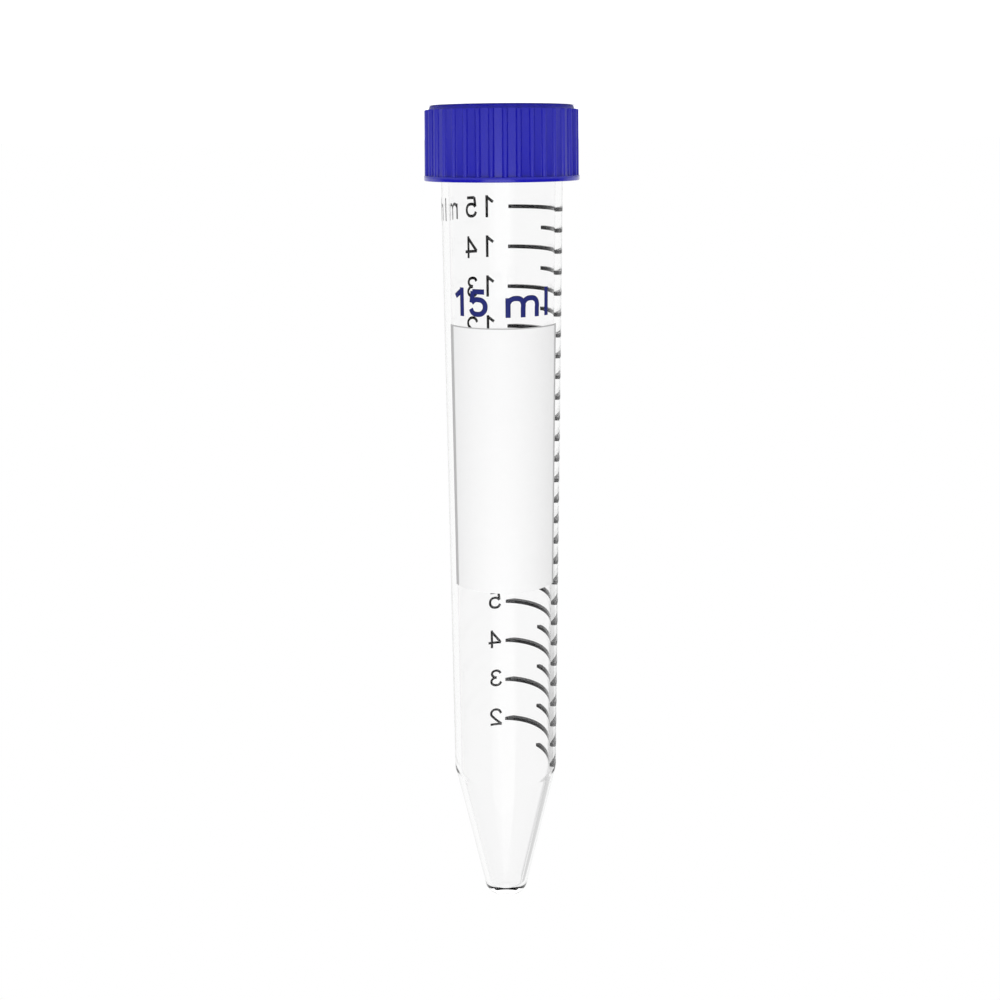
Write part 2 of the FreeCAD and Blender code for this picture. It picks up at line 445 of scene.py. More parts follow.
def grain_group() -> NodeTree:
    """Builds the fine grain that moulded and printed surfaces share.

    Returns:
        A group with inputs Place, Scale and Stretch, and outputs Grain, from 0 to 1, and Cloud, a
        slow change over the surface from 0 to 1.
    """
    group = bpy.data.node_groups.new("fine_grain", "ShaderNodeTree")
    face = group.interface
    face.new_socket("Place", in_out="INPUT", socket_type="NodeSocketVector")
    for name in ("Scale", "Stretch"):
        face.new_socket(name, in_out="INPUT", socket_type="NodeSocketFloat")
    for name in ("Grain", "Cloud"):
        face.new_socket(name, in_out="OUTPUT", socket_type="NodeSocketFloat")
    wires = Wiring(group)
    inside = wires.add("NodeGroupInput").outputs
    squeeze = wires.add("ShaderNodeCombineXYZ", {"X": 1.0, "Y": 1.0, "Z": inside["Stretch"]})
    place = wires.add(
        "ShaderNodeVectorMath", {0: inside["Place"], 1: squeeze.outputs[0]}, operation="MULTIPLY"
    )
    fine = wires.add(
        "ShaderNodeTexNoise",
        {"Vector": place.outputs[0], "Scale": inside["Scale"], "Detail": 3.0, "Roughness": 0.6},
    )
    coarse = wires.math("MULTIPLY", inside["Scale"], CLOUD_SHARE)
    slow = wires.add("ShaderNodeTexNoise", {"Vector": place.outputs[0], "Scale": coarse, "Detail": 2.0})
    wires.add("NodeGroupOutput", {"Grain": fine.outputs["Fac"], "Cloud": slow.outputs["Fac"]})
    return group


@dataclass(frozen=True)
class Finish:
    """What every finish has: its name, its colour and the shared grain."""

    name: str
    colour: Colour
    grain: NodeTree

    def make(self) -> Material:
        """Makes the material: one shader with the look's inputs, wired to the output.

        Returns:
            The material.
        """
        material = bpy.data.materials.new(self.name)
        material.use_nodes = True
        wires = Wiring(material.node_tree)
        shader = wires.add("ShaderNodeBsdfPrincipled", self.look(wires))
        wires.add("ShaderNodeOutputMaterial", {"Surface": shader.outputs[0]})
        return material

    def look(self, wires: Wiring) -> dict:
        """Wires what gives the surface its look and returns the shader's inputs."""
        raise NotImplementedError

    def grained(self, wires: Wiring, scale: float, stretch: float) -> tuple[NodeSocket, NodeSocket]:
        """Places the shared grain in a material.

        Args:
            wires: The material's wiring.
            scale: Bumps per metre, about.
            stretch: How much the grain is drawn out along the axis; 1 is not at all.

        Returns:
            The fine grain and the slow cloud.
        """
        inputs = {"Place": wires.place(), "Scale": scale, "Stretch": stretch}
        outputs = wires.add("ShaderNodeGroup", inputs, node_tree=self.grain).outputs
        return outputs["Grain"], outputs["Cloud"]


@dataclass(frozen=True)
class ClearPlastic(Finish):
    """Thin polished clear plastic: it bends light a little and dims where it is seen edge on."""

    bending: float = 1.2
    # painted shade: the grey that the wall turns where it is seen edge on
    edge_tint: Colour = rgb(0.6, 0.6, 0.6)
    edge_from: float = 0.72

    def look(self, wires: Wiring) -> dict:
        """Greys the colour where the wall is seen edge on, a painted shade, and lets the surface ripple a
        little.

        Args:
            wires: The material's wiring.

        Returns:
            The shader's inputs.
        """
        _, cloud = self.grained(wires, scale=900.0, stretch=0.12)
        facing = wires.add("ShaderNodeLayerWeight", {"Blend": 0.5}).outputs["Facing"]
        # Painted shade: the colour greys towards where the wall is seen edge on.
        colour = wires.mix(wires.ramp(facing, self.edge_from, 1.0), self.colour, self.edge_tint)
        normal = wires.bump(cloud, strength=0.05, distance=0.0001)
        return {
            "Base Color": colour,
            "Roughness": 0.0,
            "IOR": self.bending,
            "Transmission Weight": 1.0,
            "Normal": normal,
        }


@dataclass(frozen=True)
class SatinPlastic(Finish):
    """Coloured plastic with the satin of a moulded skin."""

    roughness: float = 0.16
    gloss: float = 0.6
    deeper: Colour = rgb(0.006, 0.005, 0.385)

    def look(self, wires: Wiring) -> dict:
        """Varies the colour slowly and the gloss finely.

        Args:
            wires: The material's wiring.

        Returns:
            The shader's inputs.
        """
        grain, cloud = self.grained(wires, scale=9000.0, stretch=0.35)
        depth = wires.ramp(cloud, 0.35, 0.65, to_high=0.35)
        colour = wires.mix(depth, self.colour, self.deeper)
        normal = wires.bump(grain, strength=0.04, distance=0.00002)
        return {
            "Base Color": colour,
            "Roughness": wires.ramp(grain, 0.3, 0.7, self.roughness - 0.04, self.roughness + 0.05),
            "IOR": 1.5,
            "Specular IOR Level": self.gloss,
            "Normal": normal,
        }


@dataclass(frozen=True)
class PrintedInk(Finish):
    """A film of ink: fine mottling in its colour and a soft gloss."""

    worn: Colour = rgb(0.05, 0.05, 0.052)
    roughness: float = 0.3
    gloss: float = 0.5

    def look(self, wires: Wiring) -> dict:
        """Mottles the colour and the gloss.

        Args:
            wires: The material's wiring.

        Returns:
            The shader's inputs.
        """
        grain, cloud = self.grained(wires, scale=14000.0, stretch=1.0)
        mottle = wires.math("MULTIPLY", wires.ramp(grain, 0.35, 0.75, to_high=0.6), cloud)
        colour = wires.mix(mottle, self.colour, self.worn)
        normal = wires.bump(grain, strength=0.06, distance=0.00001)
        return {
            "Base Color": colour,
            "Roughness": wires.ramp(grain, 0.3, 0.7, self.roughness - 0.03, self.roughness + 0.05),
            "Specular IOR Level": self.gloss,
            "Normal": normal,
        }


@dataclass(frozen=True)
class SoftFoam(Finish):
    """The sealing disc's soft matt foam, with its fine cells darkened by painted shade."""

    hollow: Colour = rgb(0.6, 0.6, 0.57)
    cells_per_metre: float = 3500.0

    def look(self, wires: Wiring) -> dict:
        """Darkens the cells with painted shade and sinks them.

        Args:
            wires: The material's wiring.

        Returns:
            The shader's inputs.
        """
        grain, cloud = self.grained(wires, scale=5000.0, stretch=1.0)
        pattern = {"Vector": wires.place(), "Scale": self.cells_per_metre}
        cells = wires.add("ShaderNodeTexVoronoi", pattern).outputs["Distance"]
        # Painted shade: the cells darken towards their middles, where they are sunk.
        shade = wires.ramp(cells, 0.0, 0.6, to_low=0.25, to_high=0.0)
        colour = wires.mix(shade, self.colour, self.hollow)
        height = wires.math("ADD", wires.math("MULTIPLY", grain, 0.4), wires.math("MULTIPLY", cells, 0.6))
        normal = wires.bump(height, strength=0.3, distance=0.00005)
        roughness = wires.ramp(cloud, 0.3, 0.7, to_low=0.75, to_high=0.9)
        return {"Base Color": colour, "Roughness": roughness, "Normal": normal}


# ------------------------ the tube


@dataclass(frozen=True)
class Thread:
    """The single-start thread that the neck and the cap share, in millimetres."""

    pitch: float = 3.0
    depth: float = 0.62
    root: float = 1.5
    crest: float = 0.8
    bite: float = 0.3
    steps_per_turn: int = 96

    def ridge(self, radius: float, start: float, turns: float, side: Side) -> BMesh:
        """Winds one ridge.

        Args:
            radius: Radius of the wall that it stands on.
            start: Height of its middle where it starts, above the tip.
            turns: How far it winds.
            side: Which way it stands from the wall.

        Returns:
            The ridge, rooted a little way in the wall.
        """
        buried = radius - self.bite * side.value
        crest = radius + self.depth * side.value
        section = [
            (buried, start - self.root / 2),
            (radius, start - self.root / 2),
            (crest, start - self.crest / 2),
            (crest, start + self.crest / 2),
            (radius, start + self.root / 2),
            (buried, start + self.root / 2),
        ]
        return swept(section, FULL_TURN * turns, self.pitch * turns, round(self.steps_per_turn * turns))


@dataclass
class ClearTube:
    """The clear body: rounded tip, cone, slim body and threaded neck, in millimetres."""

    finish: ClearPlastic
    length: float = 117.5
    wall: float = 0.95
    neck_radius: float = 8.07
    shoulder_radius: float = 7.78
    shoulder_height: float = 22.4
    neck_height: float = 9.7
    edge_radius: float = 3.3
    edge_height: float = 1.0
    tip_radius: float = 1.77
    tip_curve: float = 1.9
    dimple_radius: float = 1.2
    dimple_depth: float = 0.25
    floor_thickness: float = 1.55
    floor_rounding: float = 0.8
    shoulder_rounding: float = 1.2
    inner_rounding: float = 2.0
    rim_rounding: float = 0.25
    ridge_start: float = 112.2
    ridge_turns: float = 1.2
    thread: Thread = Thread()

    def outside(self, height: float) -> float:
        """Finds the outer radius of the straight body.

        Args:
            height: Height above the tip.

        Returns:
            The radius there; past either end of the body, the radius at that end.
        """
        neck_foot = self.length - self.neck_height
        share = (height - self.shoulder_height) / (neck_foot - self.shoulder_height)
        share = min(max(share, 0.0), 1.0)
        return self.shoulder_radius + (self.neck_radius - self.shoulder_radius) * share

    def wall_mesh(self) -> BMesh:
        """Turns the wall from its section and rounds its edges.

        Returns:
            The wall, as one closed skin.
        """
        neck_foot = self.length - self.neck_height
        inner_neck = self.neck_radius - self.wall
        inner_shoulder = self.shoulder_radius - self.wall
        inner_edge = self.edge_radius - self.wall
        tip = arc_points(
            Vector((self.tip_radius, 0)),
            Vector((self.edge_radius, self.edge_height)),
            self.tip_curve,
            steps=10,
        )
        profile = [
            (0, self.dimple_depth),
            (self.dimple_radius, 0),
            *tip,
            (self.shoulder_radius, self.shoulder_height),
            (self.neck_radius, neck_foot),
            (self.neck_radius, self.length),
            (inner_neck, self.length),
            (inner_neck, neck_foot),
            (inner_shoulder, self.shoulder_height),
            (inner_edge, self.floor_thickness),
            (0, self.floor_thickness),
        ]
        bm = turned(profile)
        round_ring(bm, self.shoulder_radius, self.shoulder_height, self.shoulder_rounding)
        round_ring(bm, inner_shoulder, self.shoulder_height, self.inner_rounding)
        round_ring(bm, inner_edge, self.floor_thickness, self.floor_rounding, segments=10)
        round_ring(bm, self.neck_radius, self.length, self.rim_rounding)
        round_ring(bm, inner_neck, self.length, self.rim_rounding)
        return bm

    def build(self, stand: Stand) -> None:
        """Builds the clear body, which stands for the CAD tube.

        Args:
            stand: How the tube stands.
        """
        ridge = self.thread.ridge(self.neck_radius, self.ridge_start, self.ridge_turns, Side.OUTWARDS)
        bm = united(self.wall_mesh(), ridge)
        crisp(bm)
        piece = finished(bm, "clear_body", Body.TUBE, self.finish.make(), stand)
        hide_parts("tube")


@dataclass(frozen=True)
class Stroke:
    """One stroke of a numeral, through points across and up, where the numeral is 1 high."""

    points: tuple[Pair, ...]
    curved: bool = False
    closed: bool = False


@dataclass(frozen=True)
class Glyph:
    """A numeral or letter: how wide it is for a height of 1, and its strokes."""

    width: float
    strokes: tuple[Stroke, ...]


TWO_BOW = (
    (0.05, 0.74), (0.14, 0.92), (0.33, 1.01), (0.54, 0.92), (0.60, 0.72), (0.46, 0.47), (0.04, 0.02),
)  # fmt: skip
UPPER_BOWL = (
    (0.06, 0.80), (0.14, 0.94), (0.30, 0.985), (0.47, 0.92), (0.52, 0.77), (0.44, 0.60), (0.27, 0.53),
)  # fmt: skip
LOWER_BOWL = (
    (0.27, 0.53), (0.47, 0.46), (0.56, 0.28), (0.48, 0.09), (0.29, 0.015), (0.11, 0.08), (0.03, 0.24),
)  # fmt: skip
SIX = (
    (0.51, 0.88), (0.33, 0.985), (0.13, 0.85), (0.04, 0.45), (0.10, 0.12), (0.30, 0.015),
    (0.50, 0.10), (0.57, 0.33), (0.48, 0.55), (0.30, 0.63), (0.12, 0.54), (0.05, 0.38),
)  # fmt: skip
FIVE_BOWL = (
    (0.07, 0.50), (0.17, 0.61), (0.31, 0.64), (0.50, 0.56), (0.57, 0.33), (0.48, 0.09),
    (0.29, 0.015), (0.11, 0.08), (0.04, 0.24),
)  # fmt: skip
HUMP = (
    (0.05, 0.50), (0.16, 0.65), (0.33, 0.70), (0.50, 0.64), (0.57, 0.48), (0.57, 0.24), (0.57, 0.0),
)  # fmt: skip
HUMP_STEP = 0.52  # from the first hump of an m to the second
NINE_WIDTH = 0.6

GLYPHS = {
    "0": Glyph(0.6, (Stroke(((0.30, 0.985), (0.57, 0.5), (0.30, 0.015), (0.03, 0.5)), True, True),)),
    "1": Glyph(0.36, (Stroke(((0.33, 0.0), (0.33, 1.0))), Stroke(((0.33, 0.99), (0.03, 0.72))))),
    "2": Glyph(0.66, (Stroke(TWO_BOW, True), Stroke(((0.02, 0.01), (0.64, 0.01))))),
    "3": Glyph(0.58, (Stroke(UPPER_BOWL, True), Stroke(LOWER_BOWL, True))),
    "4": Glyph(
        0.7,
        (
            Stroke(((0.50, 0.0), (0.50, 1.0))),
            Stroke(((0.50, 0.98), (0.03, 0.28))),
            Stroke(((0.01, 0.27), (0.69, 0.27))),
        ),
    ),
    "5": Glyph(
        0.6,
        (
            Stroke(((0.54, 0.97), (0.11, 0.97))),
            Stroke(((0.12, 0.99), (0.07, 0.50))),
            Stroke(FIVE_BOWL, True),
        ),
    ),
    "6": Glyph(0.6, (Stroke(SIX, True),)),
    "7": Glyph(0.6, (Stroke(((0.03, 0.97), (0.57, 0.97))), Stroke(((0.56, 0.97), (0.20, 0.0))))),
    "8": Glyph(
        0.6,
        (
            Stroke(((0.30, 0.985), (0.52, 0.76), (0.30, 0.54), (0.08, 0.76)), True, True),
            Stroke(((0.30, 0.54), (0.57, 0.27), (0.30, 0.015), (0.03, 0.27)), True, True),
        ),
    ),
    "9": Glyph(NINE_WIDTH, (Stroke(tuple((NINE_WIDTH - across, 1.0 - up) for across, up in SIX), True),)),
    "m": Glyph(
        1.14,
        (
            Stroke(((0.05, 0.0), (0.05, 0.72))),
            Stroke(HUMP, True),
            Stroke(tuple((across + HUMP_STEP, up) for across, up in HUMP), True),
        ),
    ),
    "l": Glyph(0.12, (Stroke(((0.06, 0.0), (0.06, 1.0))),)),
}


@dataclass(frozen=True)
class Lettering:
    """Plain stroke numerals and letters laid on a round wall.

    Args:
        height: Height of a numeral, in millimetres.
        stroke: Width of its strokes.
        gap: Space after each letter.
        film: How far the ink stands out of the wall.
        widening: How much wider than drawn the letters are.
        space: Width of a space between words.
    """

    height: float
    stroke: float
    gap: float
    film: float = 0.02
    widening: float = 1.0
    space: float = 1.0

    def stroke_mesh(self, stroke: Stroke) -> BMesh:
        """Draws one stroke flat, with X across, Y up and Z out of the surface.

        Args:
            stroke: The stroke, as drawn for a height of 1.

        Returns:
            The stroke at its real size.
        """
        curve = bpy.data.curves.new("stroke", "CURVE")
        curve.dimensions = "2D"
        curve.fill_mode = "NONE"
        curve.bevel_depth = self.stroke / 2
        curve.bevel_resolution = 1
        curve.use_fill_caps = True
        curve.resolution_u = 6
        edge = self.stroke / self.height / 2
        points = []
        for across, up in stroke.points:
            inset = up if up in (0.0, 1.0) else edge + up * (1 - 2 * edge)
            points.append(Vector((across * self.widening, inset, 0)) * self.height)
        spline = curve.splines.new("BEZIER" if stroke.curved else "POLY")
        if stroke.curved:
            spline.bezier_points.add(len(points) - 1)
            for knot, point in zip(spline.bezier_points, points):
                knot.co = point
                knot.handle_left_type = knot.handle_right_type = "AUTO"
        else:
            shares = [step / STROKE_PIECES for step in range(STROKE_PIECES + 1)]
            middle = [points[0].lerp(points[-1], share) for share in shares]
            spline.points.add(len(middle) - 1)
            for knot, point in zip(spline.points, middle):
                knot.co = (*point, 1.0)
        spline.use_cyclic_u = stroke.closed
        holder = placed("stroke", curve)
        drawn = holder.evaluated_get(bpy.context.evaluated_depsgraph_get())
        mesh = bpy.data.meshes.new_from_object(drawn)
        bm = bmesh.new()
        bm.from_mesh(mesh)
        bpy.data.meshes.remove(mesh)
        bpy.data.objects.remove(holder)
        bpy.data.curves.remove(curve)
        return mended(bm)

    def text_mesh(self, text: str, start: float, middle: float, radius: Callable[[float], float]) -> BMesh:
        """Draws a word and wraps it around the wall.

        Args:
            text: What it says.
            start: Radians from the front where it starts; it runs on to the right.
            middle: Height of its middle above the tip.
            radius: Gives the wall's radius at a height.

        Returns:
            The strokes, half sunk in the wall.
        """
        strokes = []
        across = 0.0
        for letter in text:
            if letter == " ":
                across += self.space
                continue
            for stroke in GLYPHS[letter].strokes:
                part = self.stroke_mesh(stroke)
                bmesh.ops.translate(part, verts=part.verts, vec=(across, -self.height / 2, 0))
                strokes.append(part)
            across += GLYPHS[letter].width * self.widening * self.height + self.gap
        bm = joined(strokes)
        flat = self.film / (self.stroke / 2)
        for vert in bm.verts:
            height = middle + vert.co.y
            wall = radius(height)
            vert.co = on_wall(start + vert.co.x / wall, wall + vert.co.z * flat, height)
        crisp(bm, limit=70.0)
        return bm


@dataclass
class Scale:
    """The millilitre scale on the back: long and half marks with their numbers, in millimetres.

    Pairs of angles are degrees from the front, for the first and the last mark.
    """

    tube: ClearTube
    ink: PrintedInk
    cap_top: float
    first: int = 2
    last: int = 15
    line: float = 0.5
    proud: float = 0.015
    cover: float = 0.04
    taper: float = math.radians(10)
    half_taper: float = math.radians(2.5)
    thin_end: float = 0.12
    depths: tuple[float, ...] = (106.611, -7.2276, 0.07892, -0.00084)
    long_starts: Pair = (180.2, 172.8)
    half_starts: Pair = (133.0, 129.7)
    right_ends: Pair = (76.0, 74.0)
    digit_starts: Pair = (184.0, 186.3)
    two_digit_starts: Pair = (188.8, 188.8)
    lettering: Lettering = Lettering(height=3.0, stroke=0.4, gap=1.52, widening=1.04, space=0.55)

    def height(self, millilitres: float) -> float:
        """Returns a mark's height above the tip, by a cubic: the marks close up towards the cap."""
        below_top = sum(factor * millilitres**power for power, factor in enumerate(self.depths))
        return self.cap_top - below_top

    def between(self, ends: Pair, millilitres: float) -> float:
        """Returns a mark's angle from the front, in radians."""
        share = (millilitres - self.first) / (self.last - self.first)
        return math.radians(ends[0] + (ends[1] - ends[0]) * share)

    def mark_mesh(self, millilitres: float, start: float) -> BMesh:
        """Draws one mark through the depth of the wall, from the back round the right side.

        Args:
            millilitres: What it marks.
            start: Radians from the front to its back end.

        Returns:
            The mark, thinner towards its back end.
        """
        height = self.height(millilitres)
        outer = self.tube.outside(height) + self.proud
        inner = outer - self.proud - self.tube.wall + self.cover
        section = [
            (inner, height - self.line / 2),
            (outer, height - self.line / 2),
            (outer, height + self.line / 2),
            (inner, height + self.line / 2),
        ]
        end = self.between(self.right_ends, millilitres)
        taper = self.taper if millilitres == int(millilitres) else self.half_taper
        bm = strip(section, end, start, least=12)
        for vert in bm.verts:
            angle = math.atan2(vert.co.x, -vert.co.y) % FULL_TURN
            reach = min(max((start - angle) / taper, 0.0), 1.0)
            depth = self.thin_end + (1 - self.thin_end) * reach
            radius = inner + (vert.co.xy.length - inner) * depth
            vert.co = on_wall(angle, radius, vert.co.z)
        crisp(bm, limit=25.0)
        return bm

    def number_mesh(self, millilitres: int) -> BMesh:
        """Draws the number of a long mark, read from behind.

        Args:
            millilitres: The number; the last one also names its unit.

        Returns:
            The number on the wall.
        """
        text = f"{millilitres} ml" if millilitres == self.last else str(millilitres)
        starts = self.digit_starts if millilitres < 10 else self.two_digit_starts
        start = self.between(starts, millilitres)
        return self.lettering.text_mesh(text, start, self.height(millilitres), self.tube.outside)

    def build(self, stand: Stand) -> None:
        """Builds the marks and the numbers.

        Args:
            stand: How the tube stands.
        """
        ink = self.ink.make()
        whole = range(self.first, self.last + 1)
        long_marks = [self.mark_mesh(value, self.between(self.long_starts, value)) for value in whole]
        finished(joined(long_marks), "scale_long_marks", Body.TUBE, ink, stand)
        half_marks = [self.mark_mesh(value - 0.5, self.between(self.half_starts, value)) for value in whole]
        finished(joined(half_marks), "scale_half_marks", Body.TUBE, ink, stand)
        numbers = [self.number_mesh(value) for value in whole]
        finished(joined(numbers), "scale_numbers", Body.TUBE, ink, stand)


@dataclass
class WritingSide:
    """The front: the printed white patch and volume mark, and a grey rim of painted shade on the patch's
    edges.
    """

    tube: ClearTube
    white: PrintedInk
    grey: PrintedInk
    navy: PrintedInk
    cap_top: float
    left: float = math.radians(-60)
    right: float = math.radians(62)
    top: float = 27.86
    bottom: float = 65.15
    film: float = 0.05
    sunk: float = 0.02
    # The grey rim along the patch's edges is painted shade; these give its widths and how far it stands
    # out.
    rim_left: float = math.radians(5)
    rim_right: float = math.radians(3)
    rim_top: float = 0.16
    rim_film: float = 0.01
    top_film: float = 0.005
    mark_text: str = "15 ml"
    mark_start: float = math.radians(-51)
    mark_depth: float = 24.6
    mark: Lettering = Lettering(height=3.75, stroke=0.68, gap=1.2, film=0.03, widening=1.04, space=1.5)

    def field_mesh(self, left: float, right: float, top: float, bottom: float, film: float) -> BMesh:
        """Draws a field of ink that follows the wall.

        Args:
            left: Radians from the front to its left edge.
            right: Radians to its right edge.
            top: Depth of its top edge below the cap's top.
            bottom: Depth of its bottom edge.
            film: How far it stands out.

        Returns:
            The field, a little sunk in the wall.
        """
        low, high = self.cap_top - bottom, self.cap_top - top
        section = [
            (self.tube.outside(low) - self.sunk, low),
            (self.tube.outside(low) + film, low),
            (self.tube.outside(high) + film, high),
            (self.tube.outside(high) - self.sunk, high),
        ]
        bm = strip(section, left, right, least=4)
        crisp(bm, limit=25.0)
        return bm

    def build(self, stand: Stand) -> None:
        """Builds the patch, its grey rim of painted shade and the volume mark.

        Args:
            stand: How the tube stands.
        """
        patch = self.field_mesh(self.left, self.right, self.top, self.bottom, self.film)
        finished(patch, "writing_patch", Body.TUBE, self.white.make(), stand)
        # The rim is painted shade: grey strips along the patch's left, right and top edges, widest on the
        # left.
        rim = self.film + self.rim_film
        strips = [
            self.field_mesh(self.left, self.left + self.rim_left, self.top, self.bottom, rim),
            self.field_mesh(self.right - self.rim_right, self.right, self.top, self.bottom, rim),
            self.field_mesh(self.left, self.right, self.top, self.top + self.rim_top, rim + self.top_film),
        ]
        finished(joined(strips), "patch_edge_shade", Body.TUBE, self.grey.make(), stand)
        middle = self.cap_top - self.mark_depth
        text = self.mark.text_mesh(self.mark_text, self.mark_start, middle, self.tube.outside)
        finished(text, "volume_mark", Body.TUBE, self.navy.make(), stand)


# ------------------------ the cap


@dataclass
class ScrewCap:
    """The blue cap: ribbed skirt, flange, smooth lip, flat top and inner thread, in millimetres."""

    finish: SatinPlastic
    bore: float = 8.94
    top: float = 119.0
    foot: float = 109.6
    ceiling: float = 118.0
    wall: float = 0.75
    flare: float = 0.16
    rib_count: int = 36
    rib_height: float = 0.35
    rib_rounding: float = 0.1
    rib_turn: float = 2.5
    rib_end_steps: int = 6
    head_flare: float = 0.03
    rib_shape: tuple[Pair, ...] = (  # degrees from a rib's middle and share of its height
        (0.0, 1.0), (0.3, 0.985), (0.6, 0.94), (0.9, 0.86), (1.2, 0.75),
        (1.5, 0.59), (1.8, 0.36), (2.05, 0.1), (2.35, 0.0),
    )  # fmt: skip
    lip_height: float = 0.55
    lip_step: float = 0.17
    lip_slope: float = 0.22
    lip_rounding: float = 0.25
    flange_step: float = 0.09
    flange_height: float = 0.65
    flange_rounding: float = 0.12
    lead_in: float = 0.3
    ridge_start: float = 110.7
    ridge_turns: float = 1.5
    thread: Thread = Thread()

    @property
    def core(self) -> float:
        """Outer radius of the wall between two ribs, at their top end."""
        return self.bore + self.wall

    @property
    def flange(self) -> float:
        """Outer radius of the flange."""
        return self.core + self.rib_height + self.flare + self.flange_step

    @property
    def lip(self) -> float:
        """Outer radius of the lip where the ribs end."""
        return self.core - self.lip_step

    def rib_angles(self) -> list[float]:
        """Lists the angles of a ring's corners, which follow the ribs' flanks and crests.

        Returns:
            Radians around the axis, from +X, rib after rib.
        """
        pitch = math.radians(360 / self.rib_count)
        turn = math.radians(self.rib_turn)
        half = [math.radians(angle) for angle, _ in self.rib_shape]
        period = [-angle for angle in reversed(half[1:])] + half
        return [rib * pitch + turn + angle for rib in range(self.rib_count) for angle in period]

    def rib_rise(self, angle: float) -> float:
        """Finds how high a rib stands at an angle.

        Args:
            angle: Radians around the axis, from +X.

        Returns:
            From 0 in a valley to 1 on a crest.
        """
        pitch = math.radians(360 / self.rib_count)
        off = math.degrees(abs((angle - math.radians(self.rib_turn) + pitch / 2) % pitch - pitch / 2))
        for (low, high_rise), (high, low_rise) in zip(self.rib_shape, self.rib_shape[1:]):
            if off <= high:
                share = max(0.0, (off - low) / (high - low))
                return high_rise + (low_rise - high_rise) * share
        return 0.0

    def rings(self) -> list[tuple[float, float, float]]:
        """Lists the cap's rings from the ceiling round by the foot to the top.

        Returns:
            Each ring's radius, its height and how much of a rib's height stands on it.
        """
        flange_top = self.foot + self.flange_height
        rib_top = self.top - self.lip_height
        turns = [math.radians(90 / self.rib_end_steps * step) for step in range(self.rib_end_steps + 1)]
        ends = [
            (
                self.core + self.flare * self.head_flare,
                rib_top - self.rib_rounding * (1 - math.sin(turn)),
                1 - self.rib_rounding / self.rib_height * (1 - math.cos(turn)),
            )
            for turn in turns
        ]
        return [
            (self.bore, self.ceiling, 0.0),
            (self.bore, self.foot + self.lead_in, 0.0),
            (self.bore + self.lead_in, self.foot, 0.0),
            (self.flange, self.foot, 0.0),
            (self.flange, flange_top, 0.0),
            (self.core + self.flare, flange_top, 1.0),
            *ends,
            (self.core, rib_top, 0.0),
            (self.lip, rib_top, 0.0),
            (self.lip - self.lip_slope, self.top, 0.0),
        ]

    def shell_mesh(self) -> BMesh:
        """Draws the shell from its bore round to its top, each ring extruded from the last.

        Returns:
            The closed shell, with its faces outwards.
        """
        angles = self.rib_angles()
        bm = bmesh.new()
        bmesh.ops.create_circle(bm, segments=len(angles), radius=self.bore)
        corners = sorted(bm.verts, key=lambda vert: math.atan2(vert.co.y, vert.co.x) % FULL_TURN)
        first, *later = self.rings()
        for vert, angle in zip(corners, sorted(angle % FULL_TURN for angle in angles)):
            vert.co = (math.cos(angle) * first[0], math.sin(angle) * first[0], first[1])
        edges = list(bm.edges)
        ceiling = bmesh.ops.extrude_edge_only(bm, edges=edges)["geom"]
        self.close(bm, ceiling, first[1])
        for radius, height, share in later:
            new = bmesh.ops.extrude_edge_only(bm, edges=edges)["geom"]
            edges = [item for item in new if isinstance(item, BMEdge)]
            for vert in (item for item in new if isinstance(item, BMVert)):
                angle = math.atan2(vert.co.y, vert.co.x)
                reach = radius + self.rib_height * share * self.rib_rise(angle)
                vert.co = (math.cos(angle) * reach, math.sin(angle) * reach, height)
        self.close(bm, bmesh.ops.extrude_edge_only(bm, edges=edges)["geom"], self.top)
        return mended(bm)

    @staticmethod
    def close(bm: BMesh, ring: Iterable[object], height: float) -> None:
        """Draws a ring together on the axis, so that it closes a flat round face.

        Args:
            bm: The shell.
            ring: What was extruded for it: its vertices, edges and faces.
            height: Height of the face.
        """
        verts = [item for item in ring if isinstance(item, BMVert)]
        bmesh.ops.pointmerge(bm, verts=verts, merge_co=(0, 0, height))

    def build(self, stand: Stand) -> None:
        """Builds the cap, which stands for the CAD cap.

        Args:
            stand: How the tube stands.
        """
        bm = self.shell_mesh()
        round_ring(bm, self.lip - self.lip_slope, self.top, self.lip_rounding)
        for height in (self.foot + self.flange_height, self.foot):
            round_ring(bm, self.flange, height, self.flange_rounding, segments=4)
        bm = united(bm, self.thread.ridge(self.bore, self.ridge_start, self.ridge_turns, Side.INWARDS))
        crisp(bm, limit=28.0)
        piece = finished(bm, "screw_cap", Body.CAP, self.finish.make(), stand)
        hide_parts("cap")


# ------------------------ the studio


@dataclass(frozen=True)
class Softbox:
    """A soft lamp: where it stands, how large it is and its power, in metres and watts."""

    name: str
    place: tuple[float, float, float]
    size: Pair
    power: float
    target: tuple[float, float, float] = (0.0, 0.0, 0.06)

    def build(self) -> None:
        """Builds the lamp, turned to its target."""
        data = bpy.data.lights.new(self.name, "AREA")
        data.shape = "RECTANGLE"
        data.size, data.size_y = self.size
        data.energy = self.power
        lamp = placed(self.name, data)
        lamp.location = self.place
        way = Vector(self.target) - Vector(self.place)
        lamp.rotation_euler = way.to_track_quat("-Z", "Y").to_euler()


